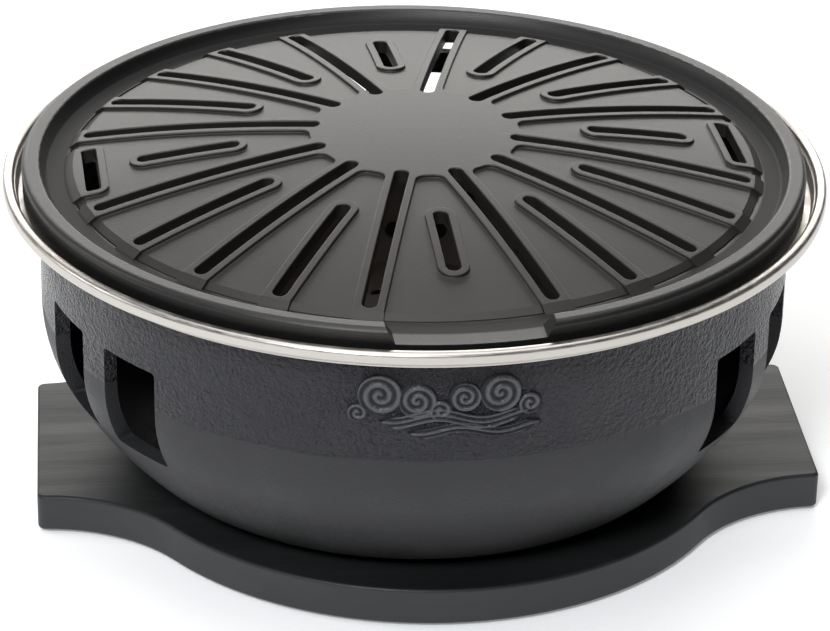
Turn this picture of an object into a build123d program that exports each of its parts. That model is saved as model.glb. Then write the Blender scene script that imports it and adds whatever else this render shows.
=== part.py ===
from build123d import *
import math
import os

# Round table-top hibachi: a cast-iron bowl on a stained wooden board, with a charcoal
# basket and an ash tray inside, a stainless rim ring on its mouth and a domed grill plate.
# Millimetres. Origin on the table under the middle of the bowl, +Z up. The front is -Y,
# and the two ears of the board point along -X and +X.

# Driving dimensions
ring_radius = 160.0        # outside of the rolled bead
ring_level = 131.0         # middle of the bead above the table
board_thickness = 15.0
pad_height = 1.5           # how far the rubber pads stand out under the board
bowl_radius = 146.4        # upright upper wall, outside
bowl_wall = 6.0
plate_radius = 152.3
plate_turn = 2.8           # the plate is set down a little turned on the ring, degrees
plate_offset = -0.4        # and a little to the left
board_offset = 4.5         # the bowl stands left of the board's middle

board_top = pad_height + board_thickness


def level(height):
    """Height above the table of a point given from the middle of the ring's bead."""
    return ring_level + height


def outward(angle, distance=0.0):
    """Upright plane that faces out from the centre line, angle degrees round from the front."""
    a = math.radians(angle)
    facing = Vector(math.sin(a), -math.cos(a), 0)
    return Plane(origin=facing * distance, x_dir=(math.cos(a), math.sin(a), 0), z_dir=facing)


def standing(angle):
    """Upright plane through the centre line: its x runs outward at the angle, its y up."""
    a = math.radians(angle)
    return Plane(
        origin=(0, 0, 0),
        x_dir=(math.sin(a), -math.cos(a), 0),
        z_dir=(-math.cos(a), -math.sin(a), 0),
    )


# ---------------------------------------------------------------- wooden board
disc_radius = 126.4
ear_reach = 154.4          # end of each ear from the centre
hollow_radius = 64.0       # concave sweep from the disc out to the ear
ear_corner = 3.0
board_edge = 1.4
recess_radius = 102.5      # shallow seat with room for the bowl's foot
recess_depth = 2.0

hollow_y = math.sqrt((disc_radius + hollow_radius) ** 2 - ear_reach**2)
meeting = math.degrees(math.atan2(hollow_y, ear_reach))  # where disc and sweep touch

pad_radius = 9.0
pad_thickness = 3.0
pad_spots = [(86, 76), (-86, 76), (-86, -76), (86, -76)]
screw_radius = 1.5
screw_length = 10.0        # in the wood
head_radius = 3.0
head_thickness = 1.2
head_recess = 0.8          # the head sits this far up inside its pad
head_top = head_recess + head_thickness

with BuildPart() as base_board:
    with BuildSketch(Plane.XY.offset(pad_height)) as board_outline:
        with BuildLine():
            CenterArc((0, 0), disc_radius, meeting, 90 - meeting)
            sweep_in = CenterArc(
                (ear_reach, hollow_y), hollow_radius, 180 + meeting, 90 - meeting
            )
            Line(sweep_in @ 1, (ear_reach, 0))
            mirror(about=Plane.YZ)
            mirror(about=Plane.XZ)
        make_face()
        fillet(
            board_outline.vertices().filter_by(
                lambda v: abs(v.X) > ear_reach - 0.1 and abs(v.Y) > 1
            ),
            radius=ear_corner,
        )
    extrude(amount=board_thickness)
    fillet(base_board.faces().filter_by(Axis.Z).edges(), radius=board_edge)
    with BuildSketch(Plane.XY.offset(board_top - recess_depth)):
        Circle(recess_radius)
    extrude(amount=recess_depth, mode=Mode.SUBTRACT)
    with BuildSketch(Plane.XY.offset(pad_height)):
        with Locations(*pad_spots):
            Circle(pad_radius)
    extrude(amount=pad_thickness - pad_height, mode=Mode.SUBTRACT)
    with BuildSketch(Plane.XY.offset(pad_thickness)):
        with Locations(*pad_spots):
            Circle(screw_radius)
    extrude(amount=screw_length, mode=Mode.SUBTRACT)

# Rubber pads let into the underside, each held by one countersunk screw
with BuildPart() as base_pads:
    with BuildSketch():
        with Locations(*pad_spots):
            Circle(pad_radius)
    extrude(amount=pad_thickness)
    chamfer(base_pads.edges().group_by(Axis.Z)[0], length=0.3)
    with BuildSketch():
        with Locations(*pad_spots):
            Circle(head_radius)
    extrude(amount=head_top, mode=Mode.SUBTRACT)
    with BuildSketch(Plane.XY.offset(head_top)):
        with Locations(*pad_spots):
            Circle(screw_radius)
    extrude(amount=pad_thickness - head_top, mode=Mode.SUBTRACT)

with BuildPart() as pad_screws:
    with BuildSketch(Plane.XY.offset(head_recess)):
        with Locations(*pad_spots):
            Circle(head_radius)
    extrude(amount=head_thickness)
    with BuildSketch(Plane.XY.offset(head_top)):
        with Locations(*pad_spots):
            Circle(screw_radius)
    extrude(amount=pad_thickness + screw_length - head_top)

# ---------------------------------------------------------------- cast-iron bowl
mouth_height = -9.3        # top edge of the wall, below the ring's bead
shoulder_height = -50.0    # the upright wall ends here and starts to turn in
bowl_bends = [(50, 30), (150, 15), (30, 35)]  # radius and turn of each arc, going down
foot_inner = 88.0
foot_outer = 96.0
vent_width = 29.0
vent_top = -32.8
rear_vent_top = -18.5      # the two at the back reach nearly up to the mouth
vent_bottom = -74.4
vent_pairs = [-60, 60, 180]
vent_spread = 8.7          # half the angle between the two vents of a pair
vent_corner = 1.6
lug_angles = [0, 120, 240]
lug_width = 22.0
ring_seat = -5.3           # top of the three lugs that carry the ring
lug_step = 3.6
lug_lip = 0.7              # keeps the ring from sliding off the lugs
basket_seat = -39.0        # top of the three ledges that carry the basket
ledge_reach = 12.0
ledge_thickness = 3.0


def bowl_section(inset):
    """Half section of the bowl's outside, moved inward by inset."""
    radius = bowl_radius - inset
    with BuildSketch(Plane.XZ) as section:
        with BuildLine():
            wall = Line((radius, level(mouth_height)), (radius, level(shoulder_height)))
            stretch = wall
            for bend_radius, turn in bowl_bends:
                stretch = JernArc(stretch @ 1, stretch % 1, bend_radius - inset, -turn)
            floor = Line(stretch @ 1, (0, (stretch @ 1).Y))
            Polyline(floor @ 1, (0, level(mouth_height)), wall @ 0)
        make_face()
    return section.sketch


with BuildPart() as stove_body:
    revolve(bowl_section(0), axis=Axis.Z)
    outer_floor = stove_body.vertices().sort_by(Axis.Z)[0].Z
    revolve(bowl_section(bowl_wall), axis=Axis.Z, mode=Mode.SUBTRACT)
    fillet(stove_body.edges().group_by(Axis.Z)[-1], radius=1.2)
    with BuildSketch(Plane.XY.offset(board_top - recess_depth)):
        Circle(foot_outer)
        Circle(foot_inner, mode=Mode.SUBTRACT)
    extrude(amount=outer_floor - board_top + recess_depth + 1)
    for pair in vent_pairs:
        top = rear_vent_top if pair == 180 else vent_top
        for side in (-vent_spread, vent_spread):
            with BuildSketch(outward(pair + side, bowl_radius - 40)):
                with Locations((0, level((top + vent_bottom) / 2))):
                    RectangleRounded(vent_width, top - vent_bottom, vent_corner)
            extrude(amount=60, mode=Mode.SUBTRACT)
    for angle in lug_angles:
        inside = bowl_radius - bowl_wall
        with BuildSketch(standing(angle)):
            with BuildLine():
                Polyline(
                    (bowl_radius - 1, level(mouth_height) - 2),
                    (bowl_radius - 1, level(ring_seat)),
                    (bowl_radius - lug_step, level(ring_seat)),
                    (bowl_radius - lug_step, level(ring_seat) + lug_lip),
                    (inside + 1, level(ring_seat) + lug_lip),
                    (inside + 1, level(mouth_height) - 2),
                    close=True,
                )
            make_face()
            with BuildLine():
                Polyline(
                    (inside + 1, level(basket_seat)),
                    (inside - ledge_reach, level(basket_seat)),
                    (inside - ledge_reach, level(basket_seat) - ledge_thickness),
                    (inside + 1, level(basket_seat) - ledge_reach),
                    close=True,
                )
            make_face()
        extrude(amount=lug_width / 2, both=True)

# ---------------------------------------------------------------- ash tray
tray_radius = 84.0
tray_height = 11.0
tray_slope = 5.0
tray_sheet = 1.0
tray_lip = 3.0
tray_floor = outer_floor + bowl_wall
tray_top = tray_floor + tray_height

with BuildPart() as ash_tray:
    with BuildSketch(Plane.XZ):
        with BuildLine():
            Polyline(
                (0, tray_floor),
                (tray_radius - tray_slope, tray_floor),
                (tray_radius, tray_top - tray_sheet),
                (tray_radius + tray_lip, tray_top - tray_sheet),
                (tray_radius + tray_lip, tray_top),
                (tray_radius - tray_sheet, tray_top),
                (tray_radius - tray_sheet - tray_slope, tray_floor + tray_sheet),
                (0, tray_floor + tray_sheet),
                close=True,
            )
        make_face()
    revolve(axis=Axis.Z)

# ---------------------------------------------------------------- charcoal basket
basket_floor = -80.0
basket_floor_radius = 80.0
basket_mouth_radius = 123.0
basket_flange = 8.0
basket_sheet = 1.2
basket_hole_radius = 3.6
floor_hole_pitch = 17.0
floor_hole_rings = 4
wall_hole_rows = 3
wall_hole_count = 30

basket_widening = basket_mouth_radius - basket_floor_radius
basket_depth = basket_seat - basket_floor


def basket_wall_plane(angle, along):
    """Plane square to the slanted wall; along is 0 at the floor and 1 at the flange."""
    on_wall = Vector(
        basket_floor_radius + along * basket_widening,
        level(basket_floor + along * basket_depth),
    )
    facing = Vector(basket_depth, -basket_widening)
    section = standing(angle)
    return Plane(
        origin=section.from_local_coords(on_wall), z_dir=section.from_local_coords(facing)
    )


with BuildPart() as charcoal_basket:
    with BuildSketch(Plane.XZ):
        with BuildLine():
            Polyline(
                (0, level(basket_floor)),
                (basket_floor_radius, level(basket_floor)),
                (basket_mouth_radius, level(basket_seat)),
                (basket_mouth_radius + basket_flange, level(basket_seat)),
                (basket_mouth_radius + basket_flange, level(basket_seat) + basket_sheet),
                (basket_mouth_radius - basket_sheet / 2, level(basket_seat) + basket_sheet),
                (basket_floor_radius - basket_sheet / 2, level(basket_floor) + basket_sheet),
                (0, level(basket_floor) + basket_sheet),
                close=True,
            )
        make_face()
    revolve(axis=Axis.Z)
    with BuildSketch(Plane.XY.offset(level(basket_floor) - 1)):
        Circle(basket_hole_radius)
        for ring in range(1, floor_hole_rings + 1):
            with PolarLocations(ring * floor_hole_pitch, 6 * ring):
                Circle(basket_hole_radius)
    extrude(amount=basket_sheet + 2, mode=Mode.SUBTRACT)
    for row in range(wall_hole_rows):
        for hole in range(wall_hole_count):
            turn = 360 / wall_hole_count * (hole + row % 2 / 2)
            with BuildSketch(basket_wall_plane(turn, (row + 1) / (wall_hole_rows + 1))):
                Circle(basket_hole_radius)
            extrude(amount=3, both=True, mode=Mode.SUBTRACT)

# ---------------------------------------------------------------- stainless rim ring
bead_width = 4.4
bead_height = 5.2
bead_round = 1.7
ring_sheet = 0.8
ring_flange = -0.4         # top of the flat between the bead and the step
ledge_outer = 154.0        # the plate lies inside this step
ledge_inner = 143.8        # the ring is open inside this radius
step_run = 1.2

with BuildPart() as rim_ring:
    with BuildSketch(Plane.XZ):
        with Locations((ring_radius - bead_width / 2, level(0))):
            RectangleRounded(bead_width, bead_height, bead_round)
        with BuildLine():
            Polyline(
                (ring_radius - bead_width / 2, level(ring_flange)),
                (ledge_outer + step_run, level(ring_flange)),
                (ledge_outer, level(ring_seat) + ring_sheet),
                (ledge_inner, level(ring_seat) + ring_sheet),
                (ledge_inner, level(ring_seat)),
                (ledge_outer + ring_sheet, level(ring_seat)),
                (ledge_outer + step_run + ring_sheet, level(ring_flange) - ring_sheet),
                (ring_radius - bead_width / 2, level(ring_flange) - ring_sheet),
                close=True,
            )
        make_face()
    revolve(axis=Axis.Z)

# ---------------------------------------------------------------- grill plate
dome_radius = 132.4        # the lips' tops end here
dome_top = 18.3
dome_edge = 5.2            # lips' tops at their outer ends
panel_top = 17.1           # the panels between the lips lie this much lower
panel_edge = 4.0
under_top = 13.3
under_edge = -0.5
bevel_foot = 136.0         # the lips' ends slope down to the gutter here
gutter_floor = 2.4
gutter_outer = 142.8
gutter_thickness = 3.6
gutter_round = 1.0
panel_reach = 131.3        # the panels slope down to the gutter from here, to a fine groove
groove_inner = 134.0
groove_width = 0.9
groove_depth = 0.6
rim_inner = 145.6
rim_top = 8.1
rim_inner_round = 1.2
rim_outer_round = 2.4
foot_width = 4.5           # the plate stands on the ring's ledge
hub_radius = 41.0
panel_tip = 4.2            # the panels' rounded ends beside the hub
lip_round = 0.5            # casting radii: on the lips' tops, and where lip and panel meet
panel_round = 0.3
slot_width = 5.6
lip_width = 3.1
slot_groups = [            # count, angle of the first from the spout, inner and outer end
    (12, 15, 37.4, 130.7),
    (4, 30, 68.0, 130.7),
    (4, 60, 68.0, 130.7),
    (4, 0, 68.3, 107.7),
]
cross_slot_radius = 125.6  # the two slots that lie across, near the edge
cross_slot_length = 37.0
cross_slot_corner = 1.5
spout_width = 54.5
spout_splay = 30.0         # the rim's two ends lean away from the spout
spout_reach = 4.0          # the cut starts inside the gutter, clear of the rim's foot

lip_end = bevel_foot + 2 * lip_width + slot_width / 2


def cap_point(radius, top, edge):
    """Point of the section of a shallow cap, from its heights in the middle and at dome_radius."""
    sphere = (dome_radius**2 + (top - edge) ** 2) / (2 * (top - edge))
    return (radius, level(top) - sphere + math.sqrt(sphere**2 - radius**2))


def lies_on_cap(edge, top, low, reach):
    """True for an edge drawn on the cap with those heights, but not along its end at reach."""
    points = (edge @ 0, edge @ 0.5, edge @ 1)
    radii = [math.hypot(point.X, point.Y) for point in points]
    return (
        max(radii) < reach + 0.1
        and min(radii) < reach - 0.15
        and all(
            abs(point.Z - cap_point(radius, top, low)[1]) < 0.02
            for point, radius in zip(points, radii)
        )
    )


def cap_arc(top, edge, reach=dome_radius):
    """Section line of a cap, from the middle out to reach."""
    return ThreePointArc(
        cap_point(0, top, edge), cap_point(reach / 2, top, edge), cap_point(reach, top, edge)
    )


def plate_plane(height):
    """Level plane that is turned with the plate, so that -y is the spout."""
    return Plane.XY.offset(level(height)).rotated((0, 0, plate_turn))


# What is cut away between the lips: the dome's skin down to the panels, outside the hub
with BuildPart() as panels:
    with BuildSketch(plate_plane(0)) as panel_outline:
        Circle(bevel_foot)
        Circle(hub_radius, mode=Mode.SUBTRACT)
        for count, first, inner, outer in slot_groups:
            end = outer + lip_width if outer < cross_slot_radius else lip_end
            start = inner - lip_width
            with PolarLocations((start + end) / 2, count, start_angle=first - 90):
                SlotOverall(end - start, slot_width + 2 * lip_width, mode=Mode.SUBTRACT)
        with PolarLocations(cross_slot_radius + 2 * lip_width, 2):
            RectangleRounded(
                slot_width + 6 * lip_width,
                cross_slot_length + 2 * lip_width,
                cross_slot_corner + lip_width,
                mode=Mode.SUBTRACT,
            )
        fillet(
            panel_outline.vertices().filter_by(
                lambda v: abs(math.hypot(v.X, v.Y) - hub_radius) < 0.1
            ),
            radius=panel_tip,
        )
    extrude(amount=dome_top + 1)
    with BuildSketch(Plane.XZ):
        with BuildLine():
            floor = cap_arc(panel_top, panel_edge, panel_reach)
            Polyline(
                floor @ 1,
                (groove_inner, level(gutter_floor)),
                (groove_inner + 0.2, level(gutter_floor - groove_depth)),
                (groove_inner + groove_width - 0.2, level(gutter_floor - groove_depth)),
                (groove_inner + groove_width, level(gutter_floor)),
                (bevel_foot + 1, level(gutter_floor)),
                (bevel_foot + 1, level(dome_top + 2)),
                (0, level(dome_top + 2)),
                floor @ 0,
            )
        make_face()
    revolve(axis=Axis.Z, mode=Mode.INTERSECT)

with BuildPart() as grill_plate:
    with BuildSketch(Plane.XZ) as plate_section:
        with BuildLine():
            foot = level(ring_seat) + ring_sheet
            gutter_under = level(gutter_floor - gutter_thickness)
            top = cap_arc(dome_top, dome_edge)
            under = cap_arc(under_top, under_edge, dome_radius - 3)
            Polyline(
                top @ 1,
                (bevel_foot, level(gutter_floor)),
                (gutter_outer, level(gutter_floor)),
                (rim_inner, level(rim_top)),
                (plate_radius, level(rim_top)),
                (plate_radius - 0.4, foot),
                (plate_radius - 0.4 - foot_width, foot),
                (plate_radius - 0.8 - foot_width, gutter_under),
                (dome_radius + 1, gutter_under),
                under @ 1,
            )
            Line(under @ 0, top @ 0)
        make_face()
        for x, height, radius in (
            (plate_radius, rim_top, rim_outer_round),
            (rim_inner, rim_top, rim_inner_round),
            (gutter_outer, gutter_floor, gutter_round),
        ):
            fillet(
                plate_section.vertices().sort_by_distance((x, level(height)))[0], radius=radius
            )
    revolve(axis=Axis.Z)
    add(panels, mode=Mode.SUBTRACT)
    with BuildSketch(plate_plane(gutter_floor)):
        with Locations((0, -plate_radius)):
            Rectangle(spout_width, 2 * (plate_radius - gutter_outer + spout_reach))
    extrude(amount=rim_top, taper=-spout_splay, mode=Mode.SUBTRACT)
    with BuildSketch(plate_plane(-10)):
        for count, first, inner, outer in slot_groups:
            with PolarLocations((inner + outer) / 2, count, start_angle=first - 90):
                SlotOverall(outer - inner, slot_width)
        with PolarLocations(cross_slot_radius, 2):
            RectangleRounded(slot_width, cross_slot_length, cross_slot_corner)
    extrude(amount=40, mode=Mode.SUBTRACT)
    for top, low, reach, radius in (
        (dome_top, dome_edge, dome_radius, lip_round),
        (panel_top, panel_edge, panel_reach, panel_round),
    ):
        drawn = grill_plate.edges().filter_by(lambda edge: lies_on_cap(edge, top, low, reach))
        fillet(drawn, radius=radius)

pieces = {
    "base_board": (base_board, board_offset),
    "base_pads": (base_pads, board_offset),
    "pad_screws": (pad_screws, board_offset),
    "stove_body": (stove_body, 0),
    "ash_tray": (ash_tray, 0),
    "charcoal_basket": (charcoal_basket, 0),
    "rim_ring": (rim_ring, 0),
    "grill_plate": (grill_plate, plate_offset),
}
os.makedirs("parts", exist_ok=True)
for name, (piece, offset) in pieces.items():
    shape = piece.part.moved(Location((offset, 0, 0)))
    shape.label = name
    export_step(shape, f"parts/{name}.step")
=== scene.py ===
import math

import bmesh
import bpy
import numpy as np
from mathutils import Matrix, Vector


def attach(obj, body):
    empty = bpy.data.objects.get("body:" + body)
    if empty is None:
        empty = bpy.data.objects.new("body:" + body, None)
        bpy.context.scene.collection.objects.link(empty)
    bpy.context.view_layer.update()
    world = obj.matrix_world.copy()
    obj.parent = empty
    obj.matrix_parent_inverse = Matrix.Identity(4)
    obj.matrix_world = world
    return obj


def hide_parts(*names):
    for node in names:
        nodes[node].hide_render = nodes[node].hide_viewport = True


# Looks for the round table-top hibachi: a cast-iron bowl on a stained board, with a
# stainless rim ring and a coated grill plate. Metres, in the CAD's own frame: +Z up, the
# front is -Y, the origin is on the table under the middle of the bowl.

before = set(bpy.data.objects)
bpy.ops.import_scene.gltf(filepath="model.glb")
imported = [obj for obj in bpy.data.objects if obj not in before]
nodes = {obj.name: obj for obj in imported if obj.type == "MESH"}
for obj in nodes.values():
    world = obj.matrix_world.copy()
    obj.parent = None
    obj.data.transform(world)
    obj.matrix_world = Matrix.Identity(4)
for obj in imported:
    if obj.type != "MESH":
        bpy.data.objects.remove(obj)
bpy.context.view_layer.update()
scene = bpy.context.scene

RING_LEVEL = 0.131          # middle of the ring's bead above the table
BOWL_RADIUS = 0.1464        # the bowl's upright upper wall, outside
GRIT_EDGE = 0.0833          # above this height the bowl's casting skin is coarse
RELIEF_LEVEL = RING_LEVEL - 0.0252
RELIEF_ANGLES = (0, 120, 240)

# Where one finish, painted shade or painted light fades into the next: its start and its end
GRIT_FADE = (GRIT_EDGE + 0.0008, GRIT_EDGE + 0.0026)    # heights on the bowl
# heights where the painted shade under the bowl fades out
UNDERSIDE_FADE = (0.040, 0.062)
# radii where the scroll's painted shade turns into its painted highlight
RIDGE_FADE = (BOWL_RADIUS + 0.00045, BOWL_RADIUS + 0.0013)    # radii on the scroll
GUTTER_FADE = (0.1350, 0.1364)    # radii on the plate
RIM_FADE = (0.1428, 0.1448)
# heights where the painted light on the board's edge gives way to the stained face
BOARD_FACE_FADE = (0.0150, 0.0163)    # heights on the board, up over its rounded edge


# ---------------------------------------------------------------- material helper
class Look:
    """A material with one Principled shader, and short calls for the nodes that drive it."""

    def __init__(self, name, **values):
        self.material = bpy.data.materials.new(name)
        self.material.use_nodes = True
        self.tree = self.material.node_tree
        self.shader = self.tree.nodes["Principled BSDF"]
        self.place = self.tree.nodes.new("ShaderNodeTexCoord").outputs["Object"]
        for socket, value in values.items():
            self.shader.inputs[socket.replace("_", " ")].default_value = value

    def put(self, socket, value):
        """Sets an input from a number, a colour or another node's output."""
        if isinstance(value, bpy.types.NodeSocket):
            self.tree.links.new(value, socket)
        else:
            socket.default_value = value

    def drive(self, socket, value):
        self.put(self.shader.inputs[socket], value)

    def math(self, operation, a, b=0.0, clamp=False):
        node = self.tree.nodes.new("ShaderNodeMath")
        node.operation = operation
        node.use_clamp = clamp
        self.put(node.inputs[0], a)
        self.put(node.inputs[1], b)
        return node.outputs[0]

    def remap(self, value, low, high, to_low=0.0, to_high=1.0):
        node = self.tree.nodes.new("ShaderNodeMapRange")
        node.interpolation_type = "SMOOTHSTEP"
        for socket, x in zip(node.inputs, (value, low, high, to_low, to_high)):
            self.put(socket, x)
        return node.outputs[0]

    def noise(self, scale, detail=3.0, stretch=(1, 1, 1), roughness=0.5):
        """Noise from 0 to 1; scale is in lumps per metre, stretch squeezes it along an axis."""
        mapping = self.tree.nodes.new("ShaderNodeMapping")
        self.put(mapping.inputs["Vector"], self.place)
        self.put(mapping.inputs["Scale"], stretch)
        node = self.tree.nodes.new("ShaderNodeTexNoise")
        self.put(node.inputs["Vector"], mapping.outputs[0])
        self.put(node.inputs["Scale"], scale)
        self.put(node.inputs["Detail"], detail)
        self.put(node.inputs["Roughness"], roughness)
        return node.outputs["Fac"]

    def axis(self, name):
        node = self.tree.nodes.new("ShaderNodeSeparateXYZ")
        self.put(node.inputs[0], self.place)
        return node.outputs[name]

    def radius(self):
        return self.math(
            "SQRT",
            self.math(
                "ADD",
                self.math("POWER", self.axis("X"), 2.0),
                self.math("POWER", self.axis("Y"), 2.0),
            ),
        )

    def mix(self, share, a, b):
        node = self.tree.nodes.new("ShaderNodeMix")
        node.data_type = "RGBA"
        self.put(node.inputs["Factor"], share)
        self.put(node.inputs[6], a)
        self.put(node.inputs[7], b)
        return node.outputs[2]

    def bump(self, height, depth, strength=1.0):
        """Adds relief of that depth, in metres, on top of any that is there already."""
        node = self.tree.nodes.new("ShaderNodeBump")
        self.put(node.inputs["Height"], height)
        self.put(node.inputs["Distance"], depth)
        self.put(node.inputs["Strength"], strength)
        normal = self.shader.inputs["Normal"]
        if normal.is_linked:
            self.put(node.inputs["Normal"], normal.links[0].from_socket)
        self.put(normal, node.outputs[0])


def grey(level, red=0.0, blue=0.0):
    return (level * (1 + red), level, level * (1 + blue), 1)


# ---------------------------------------------------------------- materials
def cast_iron():
    """Smooth casting skin low on the bowl, and coarse sparkling skin above the bulge; under the
    bulge the colour is darker, as painted shade.
    """
    look = Look("black_cast_iron", Specular_IOR_Level=0.30)
    height = look.axis("Z")
    wander = look.noise(260, 2)
    edge = look.math("ADD", height, look.math("MULTIPLY", wander, 0.0030))
    coarse = look.remap(edge, *GRIT_FADE)
    patches = look.noise(28, 4)
    grit = look.noise(560, 3, roughness=0.62)
    lumps = look.noise(1100, 2)
    fine = look.noise(1300, 3, roughness=0.6)
    low = look.remap(height, *UNDERSIDE_FADE, 1.0, 0.0)
    smooth_skin = look.mix(patches, grey(0.019, blue=0.08), grey(0.031, blue=0.08))
    # painted shade: a darker copy of the smooth skin under the bulge, where the bowl turns down
    # away from the light above
    underside_painted_shade = look.mix(patches, grey(0.009, blue=0.05), grey(0.022, blue=0.05))
    coarse_skin = look.mix(patches, grey(0.014, blue=0.24), grey(0.030, blue=0.24))
    lower = look.mix(low, smooth_skin, underside_painted_shade)
    look.drive("Base Color", look.mix(coarse, lower, coarse_skin))
    even = look.remap(patches, 0.35, 0.65, 0.40, 0.56)
    look.drive("Roughness", look.math("SUBTRACT", even, look.math("MULTIPLY", coarse, 0.26)))
    look.bump(fine, 0.0005, 0.8)
    look.bump(look.math("MULTIPLY", lumps, low), 0.0006, 0.7)
    look.bump(look.math("MULTIPLY", grit, coarse), 0.0034, 1.0)
    return look.material


def scroll_iron():
    """The scroll's skin: near black in its hollows as painted shade, and brighter along its ridges
    as a painted highlight.
    """
    look = Look("scroll_cast_iron", Specular_IOR_Level=0.30)
    grit = look.noise(560, 3, roughness=0.62)
    ridge = look.remap(look.radius(), *RIDGE_FADE)
    # painted shade in the hollows and painted highlight on the ridges, by height above the wall
    look.drive("Base Color", look.mix(ridge, grey(0.003, blue=0.2), grey(0.070, blue=0.14)))
    look.drive("Roughness", look.remap(ridge, 0, 1, 0.5, 0.26))
    look.bump(grit, 0.0006, 1.0)
    return look.material


def plate_coating():
    """Matt coating on the dome, duller still in the gutter, and glossy round the rim."""
    look = Look("plate_coating", Specular_IOR_Level=0.6, Specular_Tint=(1.0, 0.975, 0.955, 1))
    patches = look.noise(14, 3)
    skin = look.noise(1500, 2)
    spread = look.radius()
    well = look.remap(spread, *GUTTER_FADE)
    rim = look.remap(spread, *RIM_FADE)
    coat = look.mix(patches, grey(0.006, 0.25, -0.12), grey(0.011, 0.25, -0.12))
    look.drive("Base Color", look.mix(well, coat, grey(0.002)))
    dull = look.math("ADD", look.math("MULTIPLY", well, 0.26), 0.50)
    look.drive("Roughness", look.math("SUBTRACT", dull, look.math("MULTIPLY", rim, 0.30)))
    look.bump(skin, 0.00014, 0.6)
    return look.material


def stainless():
    """Satin steel, rubbed along the ring."""
    look = Look("brushed_stainless", Metallic=1.0)
    rub = look.noise(180, 3, stretch=(1, 1, 14))
    look.drive("Base Color", look.mix(rub, grey(0.42, 0.06, -0.07), grey(0.54, 0.06, -0.07)))
    look.drive("Roughness", look.remap(rub, 0.3, 0.7, 0.30, 0.44))
    look.bump(rub, 0.00004, 0.4)
    return look.material


def dark_sheet():
    """Bare sheet steel, darkened unevenly by heat."""
    look = Look("heat_darkened_sheet", Metallic=0.6)
    patches = look.noise(45, 4)
    look.drive("Base Color", look.mix(patches, grey(0.035, 0.25, -0.1), grey(0.075, 0.3, -0.15)))
    look.drive("Roughness", look.remap(patches, 0.3, 0.7, 0.45, 0.65))
    look.bump(look.noise(900, 2), 0.00008, 0.4)
    return look.material


def stained_board():
    """Dark stain with a sheen on the face; the sawn edge gets lighter colours, as painted light
    where the lamps fall on it.
    """
    look = Look("black_stained_wood", Specular_IOR_Level=0.28)
    grain = look.noise(70, 5, stretch=(0.07, 1, 1), roughness=0.65)
    cloud = look.noise(16, 3)
    pores = look.noise(900, 2, stretch=(0.05, 1, 1))
    face = look.remap(look.axis("Z"), *BOARD_FACE_FADE)
    tone = look.mix(grain, (0.007, 0.008, 0.008, 1), (0.022, 0.024, 0.024, 1))
    stained = look.mix(look.remap(cloud, 0.35, 0.7, 0.0, 0.55), tone, (0.008, 0.010, 0.010, 1))
    # painted light: the edge's lighter colours stand in for the light falling on it
    edge_painted_light = look.mix(grain, (0.024, 0.026, 0.027, 1), (0.050, 0.053, 0.055, 1))
    look.drive("Base Color", look.mix(face, edge_painted_light, stained))
    look.drive("Roughness", look.remap(grain, 0.3, 0.7, 0.44, 0.56))
    look.bump(grain, 0.0003, 0.35)
    look.bump(pores, 0.00015, 0.4)
    return look.material


def rubber():
    look = Look("pad_rubber", Specular_IOR_Level=0.3)
    specks = look.noise(700, 2)
    look.drive("Base Color", look.mix(specks, grey(0.018), grey(0.030)))
    look.drive("Roughness", look.remap(specks, 0.3, 0.7, 0.7, 0.85))
    look.bump(specks, 0.0001, 0.5)
    return look.material


def screw_steel():
    look = Look("screw_steel", Metallic=1.0)
    rub = look.noise(1200, 2)
    look.drive("Base Color", look.mix(rub, grey(0.42), grey(0.55)))
    look.drive("Roughness", look.remap(rub, 0.3, 0.7, 0.28, 0.42))
    look.bump(rub, 0.00005, 0.4)
    return look.material


IRON = cast_iron()
SCROLL_IRON = scroll_iron()
FINISHES = {
    "stove_body": IRON,
    "grill_plate": plate_coating(),
    "rim_ring": stainless(),
    "ash_tray": dark_sheet(),
    "base_board": stained_board(),
    "base_pads": rubber(),
    "pad_screws": screw_steel(),
}
FINISHES["charcoal_basket"] = FINISHES["ash_tray"]


def dress(thing, material, crease=35):
    """Gives a mesh its material and smooth shading, with edges kept sharper than crease degrees."""
    thing.data.materials.clear()
    thing.data.materials.append(material)
    thing.data.shade_smooth()
    thing.data.set_sharp_from_angle(angle=math.radians(crease))


for name, material in FINISHES.items():
    dress(nodes[name], material)

# ---------------------------------------------------------------- rim ring, spun finely
def rounded(centre, width, height, radius, steps=10):
    """Corner points, in millimetres, of a rectangle with rounded corners."""
    points = []
    for quarter, (x, y) in enumerate(((1, 1), (-1, 1), (-1, -1), (1, -1))):
        for k in range(steps + 1):
            a = math.radians(90 * (quarter + k / steps))
            points.append(
                (
                    centre[0] + x * (width / 2 - radius) + radius * math.cos(a),
                    centre[1] + y * (height / 2 - radius) + radius * math.sin(a),
                )
            )
    return points


def spun(name, sections, body, material, segments=720):
    """Closed solid of revolution from sections given as (radius, height over the ring's level)."""
    mesh = bmesh.new()
    for section in sections:
        loops = []
        for k in range(segments):
            a = 2 * math.pi * k / segments
            loops.append(
                [
                    mesh.verts.new(
                        (r / 1000 * math.sin(a), -r / 1000 * math.cos(a), RING_LEVEL + h / 1000)
                    )
                    for r, h in section
                ]
            )
        for k in range(segments):
            here, there = loops[k], loops[(k + 1) % segments]
            for i in range(len(section)):
                j = (i + 1) % len(section)
                mesh.faces.new([here[i], there[i], there[j], here[j]])
    bmesh.ops.recalc_face_normals(mesh, faces=mesh.faces[:])
    data = bpy.data.meshes.new(name)
    mesh.to_mesh(data)
    mesh.free()
    thing = bpy.data.objects.new(name, data)
    scene.collection.objects.link(thing)
    dress(thing, material)
    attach(thing, body)
    return thing


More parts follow.
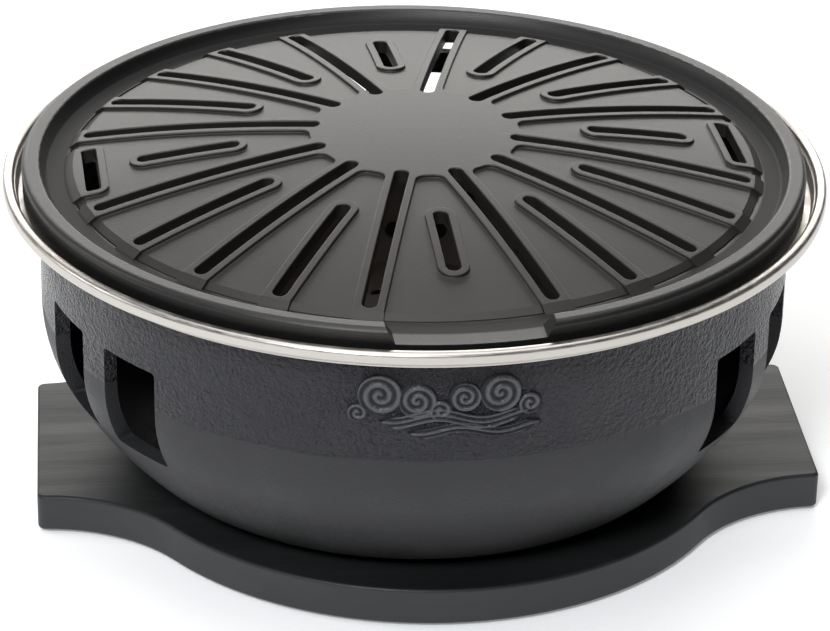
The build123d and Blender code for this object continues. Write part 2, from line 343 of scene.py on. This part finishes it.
bead = rounded((157.8, 0), 4.4, 5.2, 1.7)
step_sheet = [              # from the bead down the step, in along the ledge and back
    (156.4, -0.4),
    (155.2, -0.4),
    (154.0, -4.5),
    (143.8, -4.5),
    (143.8, -5.3),
    (154.8, -5.3),
    (156.0, -1.2),
    (156.4, -1.2),
]
ring = spun("rim_ring_spun", [bead, step_sheet], "ring", FINISHES["rim_ring"])
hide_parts("rim_ring")


# ---------------------------------------------------------------- cloud scroll on the bowl
# In millimetres along the wall and up it, from the middle of the scroll.
CURLS = [                   # along, up, radius, spacing of its turns, direction
    (-25.0, 4.0, 8.6, 3.4, 1),
    (-11.5, 2.2, 7.4, 3.0, -1),
    (5.5, 3.4, 6.2, 2.7, 1),
    (18.5, 4.6, 8.0, 3.3, -1),
    (-33.0, -3.5, 4.2, 2.4, 1),
    (-3.0, -1.6, 4.6, 2.5, 1),
    (29.5, -0.8, 4.8, 2.6, 1),
]
STREAMS = [                 # from, to, height, swing, wavelength, shift, half width
    (-27.0, 31.0, -5.2, 1.7, 34.0, -4.0, 3.0),
    (-17.0, 36.0, -10.0, 1.3, 30.0, 4.0, 2.4),
]
SCROLL_GRID = 0.3           # spacing of the grid that the scroll is cut from
SCROLL_COLUMNS, SCROLL_ROWS = 260, 96
SCROLL_BURIED = 1.0         # its back lies this far inside the wall
SCROLL_SUNK = 0.25          # and the foot of its slopes this far
STREAM_TIP = 9.0            # the streams run out over this length at each end
STREAM_GROOVE = 2.1         # spacing of the lines along them


def step(value, width):
    """Smooth rise from 0 to 1 as the value goes from 0 to width."""
    t = np.clip(value / width, 0, 1)
    return t * t * (3 - 2 * t)


def scroll_height(along, up):
    """Height of the scroll above the wall in millimetres; 0 outside it."""
    height = np.zeros_like(along)
    nearest = np.full_like(along, -1e9)
    for middle, lift, radius, spacing, hand in CURLS:
        reach = np.hypot(along - middle, up - lift)
        angle = np.arctan2(up - lift, along - middle)
        inside = radius - reach
        ridge = 0.5 + 0.5 * np.cos(2 * math.pi * reach / spacing - hand * angle)
        raised = step(inside, 0.7) * (0.75 + 0.85 * ridge)
        height = np.where(inside > nearest, raised, height)
        nearest = np.maximum(nearest, inside)
    for start, end, level, swing, wave, shift, half in STREAMS:
        line = level + swing * np.cos(2 * math.pi * (along - shift) / wave)
        taper = step(along - start, STREAM_TIP) * step(end - along, STREAM_TIP)
        inside = half * taper - np.abs(up - line)
        ridge = 0.5 + 0.5 * np.cos(2 * math.pi * (up - line) / STREAM_GROOVE)
        raised = step(inside, 0.6) * (0.65 + 0.75 * ridge)
        height = np.maximum(height, raised)
    return height


def filled_cells(height):
    """Cells of the grid that carry the scroll.

    Cells that would touch at a corner alone are joined, so that every edge has two faces.
    """
    raised = height > 0
    cells = raised[:-1, :-1] | raised[1:, :-1] | raised[:-1, 1:] | raised[1:, 1:]
    here, right, above, across = cells[:-1, :-1], cells[:-1, 1:], cells[1:, :-1], cells[1:, 1:]
    touching = (here & across & ~right & ~above) | (right & above & ~here & ~across)
    for quarter in (here, right, above, across):
        quarter |= touching
    return cells


def spot_key(place):
    """Rounded place of a grid point, to find it again after the sheet is extruded."""
    return tuple(round(x, 7) for x in place)


def cloud_scroll(name, angle):
    """Closed slab on the bowl's wall whose face carries the scroll; its back lies in the wall."""
    along, up = np.meshgrid(
        (np.arange(SCROLL_COLUMNS) - (SCROLL_COLUMNS - 1) / 2) * SCROLL_GRID,
        (np.arange(SCROLL_ROWS) - (SCROLL_ROWS - 1) / 2) * SCROLL_GRID,
    )
    height = scroll_height(along, up)
    cells = filled_cells(height)
    turn = math.radians(angle) + along / 1000 / BOWL_RADIUS
    back_radius = BOWL_RADIUS - SCROLL_BURIED / 1000
    mesh = bmesh.new()
    corners = {}

    def corner(row, column):
        if (row, column) not in corners:
            around = turn[row, column]
            corners[row, column] = mesh.verts.new(
                (
                    back_radius * math.sin(around),
                    -back_radius * math.cos(around),
                    RELIEF_LEVEL + up[row, column] / 1000,
                )
            )
        return corners[row, column]

    for row in range(SCROLL_ROWS - 1):
        for column in range(SCROLL_COLUMNS - 1):
            if cells[row, column]:
                mesh.faces.new(
                    [
                        corner(row, column),
                        corner(row, column + 1),
                        corner(row + 1, column + 1),
                        corner(row + 1, column),
                    ]
                )
    spots = {spot_key(vertex.co): spot for spot, vertex in corners.items()}
    grown = bmesh.ops.extrude_face_region(mesh, geom=mesh.faces[:], use_keep_orig=True)
    for vertex in [item for item in grown["geom"] if isinstance(item, bmesh.types.BMVert)]:
        outward = Vector((vertex.co.x, vertex.co.y, 0)).normalized()
        rise = SCROLL_BURIED - SCROLL_SUNK + height[spots[spot_key(vertex.co)]]
        vertex.co = vertex.co + outward * rise / 1000
    bmesh.ops.recalc_face_normals(mesh, faces=mesh.faces[:])
    data = bpy.data.meshes.new(name)
    mesh.to_mesh(data)
    mesh.free()
    scroll = bpy.data.objects.new(name, data)
    scene.collection.objects.link(scroll)
    dress(scroll, SCROLL_IRON, crease=80)
    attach(scroll, "stove")
    return scroll


for number, angle in enumerate(RELIEF_ANGLES):
    cloud_scroll(f"cloud_scroll_{number + 1}", angle)


# ---------------------------------------------------------------- floor, light, camera
def floor():
    mesh = bmesh.new()
    bmesh.ops.create_grid(mesh, x_segments=1, y_segments=1, size=12)
    data = bpy.data.meshes.new("floor")
    mesh.to_mesh(data)
    mesh.free()
    thing = bpy.data.objects.new("floor", data)
    scene.collection.objects.link(thing)
    look = Look("floor_white", Roughness=0.9, Specular_IOR_Level=0.1)
    look.drive("Emission Strength", look.remap(look.radius(), 0.7, 2.2, 0.22, 1.0))
    look.drive("Emission Color", (1, 1, 1, 1))
    look.drive("Base Color", (0.92, 0.92, 0.92, 1))
    dress(thing, look.material)


def softbox(name, place, aim, size, power, tint=(1, 1, 1)):
    light = bpy.data.lights.new(name, "AREA")
    light.shape = "RECTANGLE"
    light.size, light.size_y = size
    light.energy = power
    light.color = tint
    thing = bpy.data.objects.new(name, light)
    scene.collection.objects.link(thing)
    thing.location = place
    thing.rotation_euler = (Vector(aim) - Vector(place)).to_track_quat("-Z", "Y").to_euler()


def studio():
    world = bpy.data.worlds.new("studio")
    world.use_nodes = True
    backdrop = world.node_tree.nodes["Background"]
    backdrop.inputs["Color"].default_value = (1, 1, 1, 1)
    # White where it is looked at, and dim as a source of light
    seen = world.node_tree.nodes.new("ShaderNodeLightPath").outputs["Is Camera Ray"]
    strength = world.node_tree.nodes.new("ShaderNodeMapRange")
    world.node_tree.links.new(seen, strength.inputs["Value"])
    strength.inputs["To Min"].default_value = 0.06
    strength.inputs["To Max"].default_value = 1.0
    world.node_tree.links.new(strength.outputs[0], backdrop.inputs["Strength"])
    scene.world = world
    softbox("overhead", (0, 0.1, 2.6), (0, 0, 0.1), (2.4, 2.4), 46)
    softbox("behind", (0.0, 2.7, 1.0), (0, 0, 0.13), (3.0, 1.1), 54, (1.0, 0.985, 0.96))
    softbox("front_left", (-0.8, -1.9, 1.9), (0, 0, 0.1), (0.6, 0.6), 54, (0.93, 0.96, 1.0))
    softbox("left", (-2.3, 0.5, 1.2), (0, 0, 0.1), (1.0, 0.8), 14)


def camera():
    """Stands turned a little to the left of the front, and looks down past the ring."""
    turn, rise, roll = math.radians(-5.5), math.radians(24.75), math.radians(1.1)
    look_turn, look_down = turn - math.radians(0.047), math.radians(27.0)
    distance = 1.44
    lens = bpy.data.cameras.new("camera")
    lens.lens = 160
    lens.sensor_width = 36
    thing = bpy.data.objects.new("camera", lens)
    scene.collection.objects.link(thing)
    away = Vector(
        (math.cos(rise) * math.sin(turn), -math.cos(rise) * math.cos(turn), math.sin(rise))
    )
    place = Vector((0, 0, RING_LEVEL)) + distance * away
    ahead = Vector(
        (
            -math.cos(look_down) * math.sin(look_turn),
            math.cos(look_down) * math.cos(look_turn),
            -math.sin(look_down),
        )
    )
    right = ahead.cross(Vector((0, 0, 1))).normalized()
    up = right.cross(ahead)
    right, up = (
        right * math.cos(roll) + up * math.sin(roll),
        up * math.cos(roll) - right * math.sin(roll),
    )
    facing = Matrix((right, up, -ahead)).transposed().to_4x4()
    thing.matrix_world = Matrix.Translation(place) @ facing
    scene.camera = thing


floor()
studio()
camera()
scene.view_settings.view_transform = "Standard"
